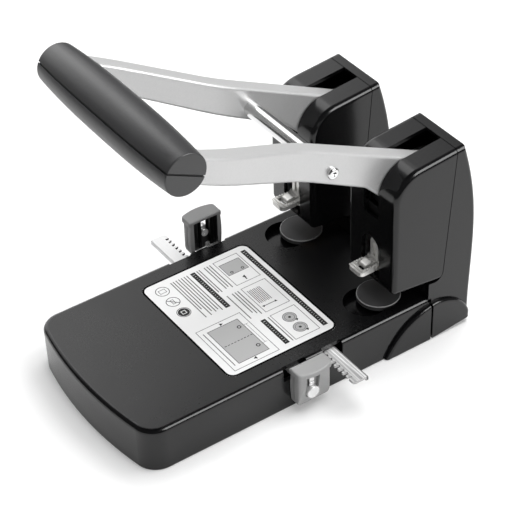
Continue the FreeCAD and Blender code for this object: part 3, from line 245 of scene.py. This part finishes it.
def metal(name, dull, bright, rough, spread, stretch, scale_mm, depth_mm, metallic=1.0, edge_mm=None,
          contrast=0.5, x_face_tone=None):
    """Bare or plated metal with marks drawn out along one axis.

    edge_mm gives the Y range over which the metal darkens towards an edge; the last argument paints a tone on the
    faces that look along X, in front of an X and behind a Y in mm, and where that tone is dark it is painted shade in
    the tooth gaps."""
    made, tree, place = finish(name)
    along = put(tree, "Mapping", {"Vector": place, "Scale": stretch})
    marks = put(tree, "TexNoise", {"Vector": along.outputs[0], "Scale": 1000 / scale_mm, "Detail": 3.0,
                                   "Roughness": 0.6})
    shade = put(tree, "MapRange", {"Value": marks.outputs[0], "From Min": 0.5 - contrast,
                                   "From Max": 0.5 + contrast})
    colour = put(tree, "Mix", {"Factor": shade.outputs[0], 6: ink(dull), 7: ink(bright)}, data_type="RGBA")
    across = put(tree, "SeparateXYZ", {0: place})
    if x_face_tone:
        front_x, back_y, tone = x_face_tone
        facing = put(tree, "SeparateXYZ", {0: put(tree, "NewGeometry").outputs["True Normal"]})
        sideways = put(tree, "Math", {0: facing.outputs["X"]}, operation="ABSOLUTE")
        # faces that look along X; on the plain strip their dark tone is painted shade in the tooth gaps
        x_facing = put(tree, "Math", {0: sideways.outputs[0], 1: 0.5}, operation="GREATER_THAN")
        tail = put(tree, "Math", {0: across.outputs["X"], 1: front_x * MM}, operation="LESS_THAN")
        beyond = put(tree, "Math", {0: across.outputs["Y"], 1: back_y * MM}, operation="GREATER_THAN")
        both = put(tree, "Math", {0: x_facing.outputs[0], 1: beyond.outputs[0]}, operation="MULTIPLY")
        both = put(tree, "Math", {0: both.outputs[0], 1: tail.outputs[0]}, operation="MULTIPLY")
        colour = put(tree, "Mix", {"Factor": both.outputs[0], 6: colour.outputs[2], 7: ink(tone)},
                     data_type="RGBA")
    if edge_mm:
        # the metal turns near black towards an edge
        towards_edge = put(tree, "MapRange", {"Value": across.outputs["Y"], "From Min": edge_mm[0] * MM,
                                     "From Max": edge_mm[1] * MM}, interpolation_type="SMOOTHSTEP")
        colour = put(tree, "Mix", {"Factor": towards_edge.outputs[0], 6: colour.outputs[2], 7: ink(EDGE_BLACK)},
                     data_type="RGBA")
    uneven = put(tree, "MapRange", {"Value": marks.outputs[0], "To Min": rough - spread,
                                    "To Max": rough + spread})
    bump = put(tree, "Bump", {"Height": marks.outputs[0], "Strength": 1.0, "Distance": depth_mm * MM})
    skin = put(tree, "BsdfPrincipled", {"Base Color": colour.outputs[2], "Metallic": metallic,
                                        "Roughness": uneven.outputs[0], "Normal": bump.outputs[0]})
    put(tree, "OutputMaterial", {"Surface": skin.outputs[0]})
    return made


# zinc plate: cool grey with a cloudy lustre
zinc_plated_steel = metal("zinc_plated_steel", "#8f9092", "#a9aaab", 0.38, 0.1, (1, 1, 1), 3.0, 0.02)
dress(zinc_plated_steel, "chassis_plate", "rack_guide_plate", "frame_screws", "cover_screws")


# ---- Label ------------------------------------------------------------------------------------
# A printed film in a shallow seat of the base cover. It shows plain pictures of a sheet with its
# two holes, the height of a stack and the turning discs, with rules and a scale and no lettering.

# laminated polyester film: off-white and matt, lighter than anything round it
matt_film = moulded("matt_film", "#dedede", "#e4e4e4", 0.5, 1.5, 0.003, 0.3)
dress(matt_film, "label_plate")
node["label_plate"].visible_glossy = False

LABEL_CENTRE = Vector((0.0, -10.4, 31.0)) * MM
LABEL_SIZE, LABEL_CORNER = (100.2, 79.2), 6.0
BORDER_W = 1.3             # black border round the film: printed ink, and painted shade of the gap in its seat
FINE = 0.4                 # thin printed lines
INK_T = 0.02               # thickness of one print


def printed(sheet, place, size, corner=0.0, line=0.0, sides=4, turn=0.0, layer=0):
    """Print one mark on a sheet, in mm from the label's middle; a line leaves only its outline."""
    mark = bmesh.new()
    if sides == 4:
        bmesh.ops.create_grid(mark, x_segments=1, y_segments=1, size=0.5)
    else:
        bmesh.ops.create_circle(mark, cap_ends=True, radius=0.5, segments=sides)
    bmesh.ops.scale(mark, verts=mark.verts, vec=(size[0], size[1], 1))
    if corner:
        bmesh.ops.bevel(mark, geom=mark.verts[:], affect="VERTICES", offset=corner, segments=6, profile=0.5,
                        material=-1)
    if line:
        middle = mark.faces[:]
        bmesh.ops.inset_region(mark, faces=middle, thickness=line, use_boundary=True, use_even_offset=True)
        bmesh.ops.delete(mark, geom=middle, context="FACES")
    top = bmesh.ops.extrude_face_region(mark, geom=mark.faces[:])["geom"]
    top = [part for part in top if isinstance(part, bmesh.types.BMVert)]
    bmesh.ops.translate(mark, verts=top, vec=(0, 0, INK_T))
    bmesh.ops.rotate(mark, verts=mark.verts, cent=(0, 0, 0), matrix=Matrix.Rotation(math.radians(turn), 3, "Z"))
    bmesh.ops.translate(mark, verts=mark.verts, vec=(place[0], place[1], layer * INK_T))
    bmesh.ops.recalc_face_normals(mark, faces=mark.faces)
    mesh = bpy.data.meshes.new("mark")
    mark.to_mesh(mesh)
    mark.free()
    sheet.from_mesh(mesh)
    bpy.data.meshes.remove(mesh)


def add_piece(name, shape, material, body):
    """Turn a bmesh into a piece that rides on a body."""
    mesh = bpy.data.meshes.new(name)
    shape.to_mesh(mesh)
    shape.free()
    mesh.materials.append(material)
    piece = bpy.data.objects.new(name, mesh)
    bpy.context.scene.collection.objects.link(piece)
    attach(piece, body)
    return piece


border_and_gap_shade, black, grey, pale, tint = bmesh.new(), bmesh.new(), bmesh.new(), bmesh.new(), bmesh.new()
printed(border_and_gap_shade, (0, 0), LABEL_SIZE, corner=LABEL_CORNER, line=BORDER_W)
# a scale on a dark bar, along the top and over the lower left block
BAR_TALL, TICK_STEP, TICK_WIDE, TICK_LONG, TICK_SHORT = 3.4, 2, 0.3, 1.6, 0.9
for bar_x, bar_y, bar_w in ((0, 33.6, 88), (-24, -4.2, 40), (31, 5.6, 26)):
    printed(black, (bar_x, bar_y), (bar_w, BAR_TALL))
    for tick in range(int(bar_w / TICK_STEP) - 1):
        tall = TICK_LONG if tick % 5 == 0 else TICK_SHORT
        printed(pale, (bar_x - bar_w / 2 + (tick + 1) * TICK_STEP, bar_y), (TICK_WIDE, tall), layer=1)
# three framed pictures: sheet with two holes, height of the stack, turning discs
PICTURE_Y, PICTURE = 20.2, (27, 18)
for frame_x in (-31, 0, 31):
    printed(grey, (frame_x, PICTURE_Y), PICTURE, line=FINE)
printed(tint, (-34, PICTURE_Y), (12, 15))
printed(grey, (-34, PICTURE_Y), (12, 15), line=FINE, layer=1)
for hole_y in (24.2, 16.2):
    printed(black, (-30.2, hole_y), (2.2, 2.2), sides=20, line=0.5, layer=1)
printed(black, (-22.5, PICTURE_Y), (3.0, 3.0), sides=3, turn=180)
printed(black, (-20.6, PICTURE_Y), (2.4, 0.8))
for sheet_step in range(8):
    printed(grey, (-2.5 + 0.35 * (sheet_step % 2), 13.4 + sheet_step * 1.2), (14, 0.5))
printed(black, (8.0, 18.0), (0.5, 7.5))
printed(black, (8.0, 22.4), (2.4, 2.4), sides=3, turn=90)
printed(black, (8.0, 13.6), (2.4, 2.4), sides=3, turn=-90)
for disc_x in (25.5, 36.5):
    printed(tint, (disc_x, PICTURE_Y), (9, 9), sides=32)
    printed(grey, (disc_x, PICTURE_Y), (9, 9), sides=32, line=FINE, layer=1)
    printed(grey, (disc_x, PICTURE_Y), (6.4, 6.4), sides=32, line=0.3, layer=1)
    printed(black, (disc_x, PICTURE_Y), (1.8, 1.8), sides=16, layer=1)
    printed(black, (disc_x + 4.2, 22.6), (2.6, 2.6), sides=3, turn=140, layer=2)
# rules below each picture and in the lower left block
RULE_W = 0.7
RULES = [(-31, 8.6, 26), (-32, 6.6, 24), (-31.5, 4.6, 25), (0, 8.6, 26), (-1, 6.6, 24), (-2, 4.6, 22),
         (-24, -20.2, 40), (31, 9.6, 26), (-31, 0.8, 26), (0, 0.8, 26), (-31.5, -1.0, 25), (-24, -8.4, 40),
         (-25, -10.4, 38), (-24.5, -12.4, 39), (-25.5, -14.4, 37), (-24, -16.4, 40), (-28, -18.4, 32)]
for rule_x, rule_y, rule_long in RULES:
    printed(grey, (rule_x, rule_y), (rule_long, RULE_W))
# three round signs: open ring, crossed ring and a filled disc with a pale square
SIGN_Y = -28.6
for sign_x in (-40, -28, -16):
    printed(black, (sign_x, SIGN_Y), (9, 9), sides=40, line=0.45)
printed(grey, (-40, SIGN_Y), (3.6, 4.8), line=FINE)
printed(black, (-28, SIGN_Y), (8.2, 0.5), turn=45)
printed(grey, (-28, SIGN_Y), (4.4, 2.2), line=FINE)
printed(black, (-16, SIGN_Y), (7.4, 7.4), sides=40)
printed(pale, (-16, SIGN_Y), (3.2, 3.2), line=0.5, layer=1)
# plan of a punched sheet with its centre line and the two stops
printed(grey, (25, -17.6), (42, 32), line=FINE)
SHEET_PLACE, SHEET_SIZE = (25, -17.0), (34, 22)
printed(tint, SHEET_PLACE, SHEET_SIZE)
printed(grey, SHEET_PLACE, SHEET_SIZE, line=0.45, layer=1)
for hole_x in (15, 35):
    printed(black, (hole_x, -9.4), (2.8, 2.8), sides=24, line=0.6, layer=1)
    printed(grey, (hole_x, -4.4), (0.25, 3.0))
printed(grey, (25, -4.4), (19.6, 0.25))
for dash in range(9):
    printed(black, (25, -7.4 - dash * 2.3), (0.5, 1.4), layer=1)
for stop_x, way in ((6.6, 0), (43.4, 180)):
    printed(black, (stop_x, -17.0), (3.0, 3.0), sides=3, turn=way)
printed(grey, (25, -30.6), (34, 0.6))

# offset inks under the laminate: flat tones from black to pale grey
printing_black = moulded("printing_black", "#161616", "#1e1e1e", 0.55, 0.6, 0.002, 0.3)
printing_grey = moulded("printing_grey", "#585858", "#646464", 0.55, 0.6, 0.002, 0.3)
printing_tint = moulded("printing_tint", "#a4a4a4", "#acacac", 0.55, 0.6, 0.002, 0.3)
printing_pale = moulded("printing_pale", "#d0d0d0", "#d8d8d8", 0.55, 0.6, 0.002, 0.3)
# near black: the printed border together with painted shade of the gap between film and seat
border_ink_and_gap_shade = moulded("border_ink_and_gap_shade", "#050505", "#070707", 0.7, 0.6, 0.002, 0.03)
for name, sheet, colour in (("label_border_print_and_gap_shade", border_and_gap_shade, border_ink_and_gap_shade),
                            ("label_print_black", black, printing_black),
                            ("label_print_grey", grey, printing_grey),
                            ("label_print_pale", pale, printing_pale),
                            ("label_print_tint", tint, printing_tint)):
    bmesh.ops.scale(sheet, verts=sheet.verts, vec=(MM, MM, MM))
    bmesh.ops.translate(sheet, verts=sheet.verts, vec=LABEL_CENTRE)
    add_piece(name, sheet, colour, "base").visible_glossy = False


# ---- Punch frames and pivots ------------------------------------------------------------------
# In each head two steel side plates carry a bronze bush for the punch, the pivot of the lever and
# the pin of the release lever. They are stamped, welded and bolted to the chassis.

dress(zinc_plated_steel, "punch_frame_left", "punch_frame_right", "pivot_clips")
# oil-filled sintered bronze: dull brown-yellow, finely pitted
sintered_bronze = metal("sintered_bronze", "#8c6a3c", "#a07c49", 0.45, 0.1, (1, 1, 1), 0.8, 0.02)
dress(sintered_bronze, "pin_bush_left", "pin_bush_right")
# bright drawn steel: clear reflections stretched along the bar
drawn_steel = metal("drawn_steel", "#b9b9b9", "#d6d6d6", 0.26, 0.08, (0.04, 1, 1), 0.8, 0.01)
dress(drawn_steel, "pivot_pin_left", "pivot_pin_right", "release_pins")


# ---- Rams, punches and return springs ---------------------------------------------------------
# The nose of each arm pushes a ram block down; the hollow punch hangs from it and a coil spring on
# the bush lifts both again. Blackened steel ram, ground punch, music-wire spring.

# oil-blackened steel: almost black, with a dull metallic glint
blackened_steel = metal("blackened_steel", "#1a1a1b", "#262627", 0.45, 0.08, (1, 1, 1), 2.0, 0.02)
dress(blackened_steel, "ram_left", "ram_right")
dress(drawn_steel, "punch_pin_left", "punch_pin_right")

COIL_R, WIRE_R, COIL_TURNS = 5.5 * MM, 0.7 * MM, 6
COIL_Z = (62.75 * MM, 95.25 * MM)
COIL_Y, PUNCH_X = 74.8 * MM, 40 * MM
STEPS_PER_TURN, WIRE_SIDES = 28, 10
DEAD_RISE = 2 * WIRE_R * 1.05       # a closed end turn climbs by little more than the wire
# music wire: grey, with a thin line of light on each coil
spring_wire = metal("spring_wire", "#8a8a8c", "#a8a8aa", 0.3, 0.06, (1, 1, 0.1), 0.6, 0.005)
for side, name in ((-1, "left"), (1, "right")):
    coil = bmesh.new()
    ring = bmesh.ops.create_circle(coil, cap_ends=True, radius=WIRE_R, segments=WIRE_SIDES)["verts"]
    bmesh.ops.rotate(coil, verts=ring, cent=(0, 0, 0), matrix=Matrix.Rotation(math.pi / 2, 3, "X"))
    bmesh.ops.translate(coil, verts=ring, vec=(COIL_R, 0, COIL_Z[0]))
    rise = COIL_Z[1] - COIL_Z[0] - 2 * DEAD_RISE
    last = list(coil.faces)
    for turns, lift in ((1, DEAD_RISE), (COIL_TURNS, rise), (1, DEAD_RISE)):
        steps = turns * STEPS_PER_TURN
        last = bmesh.ops.spin(coil, geom=last, cent=(0, 0, 0), axis=(0, 0, 1), dvec=(0, 0, lift / steps),
                              angle=2 * math.pi * turns, steps=steps)["geom_last"]
        last = [part for part in last if isinstance(part, bmesh.types.BMFace)]
    bmesh.ops.recalc_face_normals(coil, faces=coil.faces)
    bmesh.ops.translate(coil, verts=coil.verts, vec=(side * PUNCH_X, COIL_Y, 0))
    spring = add_piece("spring_" + name, coil, spring_wire, "base")
    spring.data.shade_smooth()
    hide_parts("return_spring_" + name)
    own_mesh(spring)


# ---- Head covers ------------------------------------------------------------------------------
# A black ABS cover over each punch frame, open at the top for the arm and in front for the release
# lever. It butts against its column with a fine parting line.

dress(grained_black_abs, "head_cover_left", "head_cover_right")


# ---- Release levers ---------------------------------------------------------------------------
# Small zinc castings, tumbled and left bare. The finger tab is a ribbed frame round a raised
# tongue; pressed down, it frees a jammed punch.

# vibrated zinc casting: pale, satin, corners blurred by soft light
tumbled_zinc = metal("tumbled_zinc", "#d6d5d2", "#ecebe8", 0.3, 0.06, (1, 1, 1), 1.6, 0.004, 0.6)
dress(tumbled_zinc, "release_lever_left", "release_lever_right")

TAB_TOP, RIB_PITCH, RIB_SIZE, RIB_PROUD = 59.4, 1.9, 0.9, 0.1
FRONT_ROW_Y, FRONT_ROWS, FRONT_WIDE = 48.1, 2, 11.4
SIDE_ROW_Y, SIDE_ROWS, SIDE_WIDE, SIDE_X = 51.9, 4, 2.2, 5.0
for side, name in ((-1, "left"), (1, "right")):
    ribs = bmesh.new()
    rows = [(0.0, FRONT_WIDE, FRONT_ROW_Y + row * RIB_PITCH) for row in range(FRONT_ROWS)]
    rows += [(x, SIDE_WIDE, SIDE_ROW_Y + row * RIB_PITCH) for row in range(SIDE_ROWS)
             for x in (-SIDE_X, SIDE_X)]
    for x, wide, y in rows:
        rib = bmesh.ops.create_cube(ribs, size=1.0)["verts"]
        bmesh.ops.scale(ribs, verts=rib, vec=(wide, RIB_SIZE, RIB_SIZE))
        bmesh.ops.translate(ribs, verts=rib, vec=(side * PUNCH_X / MM + x, y, TAB_TOP + RIB_PROUD))
    upper = [edge for edge in ribs.edges if all(corner.co.z > TAB_TOP for corner in edge.verts)]
    bmesh.ops.bevel(ribs, geom=upper, affect="EDGES", offset=0.2, segments=2, profile=0.5, material=-1)
    bmesh.ops.scale(ribs, verts=ribs.verts, vec=(MM, MM, MM))
    add_piece("release_ribs_" + name, ribs, tumbled_zinc, "release_" + name).data.shade_smooth()


# ---- Cutting discs ----------------------------------------------------------------------------
# Loose discs of dark grey nylon under the punches. They stand a little proud of the base, and are
# turned round a stub when the punch has worn a ring into them.

DISC_CENTRE = (0.040, 0.06595, 0.0318)
HIGHLIGHT_FROM, HIGHLIGHT_LOW = 13.12 * MM, 31.3 * MM      # painted highlight on the rim: outside this radius, above this height
# filled nylon, turned: a warm dark grey without gloss; a painted highlight in pale grey draws the rim as a thin line
# of light
made, tree, place = finish("turned_nylon")
swirl = put(tree, "TexNoise", {"Vector": place, "Scale": 1000 / 6.0, "Detail": 3.0})
colour = put(tree, "Mix", {"Factor": swirl.outputs[0], 6: ink("#464647"), 7: ink("#505050")}, data_type="RGBA")
mirror = put(tree, "VectorMath", {0: place}, operation="ABSOLUTE")
radius = put(tree, "VectorMath", {0: mirror.outputs[0], 1: DISC_CENTRE}, operation="DISTANCE")
outer = put(tree, "Math", {0: radius.outputs["Value"], 1: HIGHLIGHT_FROM}, operation="GREATER_THAN")
height = put(tree, "SeparateXYZ", {0: place})
upper = put(tree, "Math", {0: height.outputs["Z"], 1: HIGHLIGHT_LOW}, operation="GREATER_THAN")
# painted highlight: the rim above the disc's face is coloured pale grey
rim = put(tree, "Math", {0: outer.outputs[0], 1: upper.outputs[0]}, operation="MULTIPLY")
tone = put(tree, "Mix", {"Factor": rim.outputs[0], 6: colour.outputs[2], 7: ink("#a2a2a2")}, data_type="RGBA")
grain = put(tree, "TexNoise", {"Vector": place, "Scale": 1000 / 0.7, "Detail": 2.0})
bump = put(tree, "Bump", {"Height": grain.outputs[0], "Strength": 1.0, "Distance": 0.01 * MM})
skin = put(tree, "BsdfPrincipled", {"Base Color": tone.outputs[2], "Roughness": 0.45,
                                    "Normal": bump.outputs[0]})
put(tree, "OutputMaterial", {"Surface": skin.outputs[0]})
dress(made, "cutting_disc_left", "cutting_disc_right")


# ---- Arms and crossbar ------------------------------------------------------------------------
# Two aluminium castings with a silver lacquer swing on the pivots. A turned steel bar with a screw
# at each end holds them at the right distance.

# silver lacquer on cast aluminium: flat and pale, softly shaded, with no clear reflection
silver_lacquer = metal("silver_lacquer", "#cccccc", "#d6d6d6", 0.40, 0.05, (1, 1, 1), 1.2, 0.02, 0.45)
dress(silver_lacquer, "arm_left", "arm_right")
# turned and nickelled bar: sharp light and dark bands along its length
turned_bar = metal("turned_bar", "#d2d2d2", "#e6e6e6", 0.14, 0.04, (0.05, 1, 1), 1.5, 0.002)
dress(turned_bar, "crossbar", "crossbar_screws")


# ---- Grip -------------------------------------------------------------------------------------
# Two shells of satin grey plastic, screwed together round a steel tube that joins the arm ends.

# satin ABS in dark grey: a broad soft highlight along the barrel
satin_grey_grip = moulded("satin_grey_grip", "#303031", "#373738", 0.38, 1.2, 0.03, 0.65)
dress(satin_grey_grip, "grip_upper", "grip_lower")
dress(zinc_plated_steel, "grip_tube", "arm_screws", "grip_screws")


# ---- Racks and pinion -------------------------------------------------------------------------
# Two stamped steel racks run through the base on one pinion, so that both paper guides move out
# together. They are drawn strip, bright, with the marks of drawing along them.

# bright cold-rolled strip: light and dark streaks along it, darker towards its folded edge
streaked_strip = metal("streaked_strip", "#6a6a6a", "#ffffff", 0.26, 0.08, (0.02, 1, 1), 2.6, 0.01, 0.25,
                       edge_mm=(16.6, 18.9), contrast=0.16, x_face_tone=(200, -200, "#b8b8b8"))
# the other strip came out of the mill plainer: even pale grey, with painted shade on the faces in its tooth gaps
plain_strip = metal("plain_strip", "#d4d4d4", "#e4e4e4", 0.36, 0.05, (0.03, 1, 1), 1.6, 0.005, 0.35,
                    x_face_tone=(0, -9, "#1c1c1c"))
dress(streaked_strip, "guide_rack_rear", "pinion_stud")
dress(plain_strip, "guide_rack_front")
dress(zinc_plated_steel, "guide_pinion")


# ---- Guide blocks -----------------------------------------------------------------------------
# Each rack carries a block of light grey ABS. The block slides up and down on the stud of the
# rack's end plate, and a round nut on its own steel plate holds it at the height of the paper.

# painted shade: the hollow and slot coloured near black, the ribs in the hollow a lighter grey
HOLLOW_SHADE, RIB_HALF_SHADE = "#1b1b1c", "#4c4c4d"
HOLLOW_HALF, HOLLOW_TALL = 8.75, 25.4      # the hollow: half its width, and its ceiling over the foot
WALL_Z, WALL_X = (6, 12), (67.85, 69.95)   # its outer wall leans out between these heights
RIB_OUT, RIB_HALF = 6.4, 0.8
SLOT_HALF, SLOT_MIDDLE, SLOT_REACH = 2.06, 15.5, 7.56


def block_abs(name, middle_y, slot_y, foot_z, dark, pale):
    """Grey ABS outside; the hollow that faces the machine and the slot are coloured near black as painted shade, the
    ribs in the hollow a lighter grey.
    """
    made, tree, place = finish(name)
    flow = put(tree, "TexNoise", {"Vector": place, "Scale": 1000 / 30.0, "Detail": 3.0})
    colour = put(tree, "Mix", {"Factor": flow.outputs[0], 6: ink(dark), 7: ink(pale)}, data_type="RGBA")
    axis = put(tree, "SeparateXYZ", {0: place})
    out = put(tree, "Math", {0: axis.outputs["X"]}, operation="ABSOLUTE")
    wall = put(tree, "MapRange", {"Value": axis.outputs["Z"],
                                  "From Min": (foot_z + WALL_Z[0]) * MM, "From Max": (foot_z + WALL_Z[1]) * MM,
                                  "To Min": WALL_X[0] * MM, "To Max": WALL_X[1] * MM})
    deep = put(tree, "Math", {0: out.outputs[0], 1: wall.outputs[0]}, operation="LESS_THAN")
    low = put(tree, "Math", {0: axis.outputs["Z"], 1: (foot_z + HOLLOW_TALL) * MM}, operation="LESS_THAN")
    across = put(tree, "Math", {0: axis.outputs["Y"], 1: middle_y * MM, 2: HOLLOW_HALF * MM},
                 operation="COMPARE")
    inside = put(tree, "Math", {0: deep.outputs[0], 1: low.outputs[0]}, operation="MULTIPLY")
    inside = put(tree, "Math", {0: inside.outputs[0], 1: across.outputs[0]}, operation="MULTIPLY")
    aside = put(tree, "Math", {0: axis.outputs["Y"], 1: middle_y * MM}, operation="SUBTRACT")
    aside = put(tree, "Math", {0: aside.outputs[0]}, operation="ABSOLUTE")
    rib = put(tree, "Math", {0: aside.outputs[0], 1: RIB_OUT * MM, 2: RIB_HALF * MM}, operation="COMPARE")
    hollow = put(tree, "Mix", {"Factor": rib.outputs[0], 6: ink(HOLLOW_SHADE), 7: ink(RIB_HALF_SHADE)},
                 data_type="RGBA")
    tone = put(tree, "Mix", {"Factor": inside.outputs[0], 6: colour.outputs[2], 7: hollow.outputs[2]},
               data_type="RGBA")
    # painted shade over the slot
    beside = put(tree, "Math", {0: axis.outputs["Y"], 1: slot_y * MM, 2: SLOT_HALF * MM}, operation="COMPARE")
    along = put(tree, "Math", {0: axis.outputs["Z"], 1: (foot_z + SLOT_MIDDLE) * MM, 2: SLOT_REACH * MM},
                operation="COMPARE")
    slot = put(tree, "Math", {0: beside.outputs[0], 1: along.outputs[0]}, operation="MULTIPLY")
    tone = put(tree, "Mix", {"Factor": slot.outputs[0], 6: tone.outputs[2], 7: ink(HOLLOW_SHADE)},
               data_type="RGBA")
    grain = put(tree, "TexNoise", {"Vector": place, "Scale": 1000 / 0.8, "Detail": 2.0})
    bump = put(tree, "Bump", {"Height": grain.outputs[0], "Strength": 1.0, "Distance": 0.008 * MM})
    uneven = put(tree, "MapRange", {"Value": grain.outputs[0], "To Min": 0.34, "To Max": 0.46})
    skin = put(tree, "BsdfPrincipled", {"Base Color": tone.outputs[2], "Roughness": uneven.outputs[0],
                                        "Normal": bump.outputs[0]})
    put(tree, "OutputMaterial", {"Surface": skin.outputs[0]})
    return made


# light grey ABS: matt sides, a soft gleam on the lid; the far one is given a darker grey as painted shade
dress(block_abs("moulded_grey_abs_right", -5.1, -7.5, 4.0, "#9a9a9a", "#a0a0a0"), "guide_block_right")
# painted shade: the far block's grey is darker than the near one's
dress(block_abs("painted_shade_grey_abs_left", 8.8, 11.2, 25.0, "#747474", "#7a7a7a"), "guide_block_left")

# nickel plate: almost white, smooth, with a dark line where it turns away
nickel_plated = metal("nickel_plated", "#e6e6e6", "#f4f4f4", 0.26, 0.04, (1, 1, 1), 3.0, 0.001, 0.45)
dress(nickel_plated, "guide_knob_left", "guide_knob_right")
dress(blackened_steel, "guide_plate_left", "guide_plate_right")

# a bright clip in the slot of the lowered block, over its nut
CLIP_HALVES, CLIP_PLACE, CLIP_THICK, CLIP_WIDE = ((19.3, 21.9), (22.5, 25.6)), (71.5, -7.6), 1.2, 3.3
clip = bmesh.new()
for low, high in CLIP_HALVES:
    half = bmesh.ops.create_cube(clip, size=1.0)["verts"]
    bmesh.ops.scale(clip, verts=half, vec=(CLIP_THICK, CLIP_WIDE, high - low))
    bmesh.ops.translate(clip, verts=half, vec=(*CLIP_PLACE, (low + high) / 2))
bmesh.ops.bevel(clip, geom=clip.edges[:], affect="EDGES", offset=0.25, segments=2, profile=0.5, material=-1)
bmesh.ops.scale(clip, verts=clip.verts, vec=(MM, MM, MM))
add_piece("slot_clip_right", clip, nickel_plated, "guide_right").data.shade_smooth()
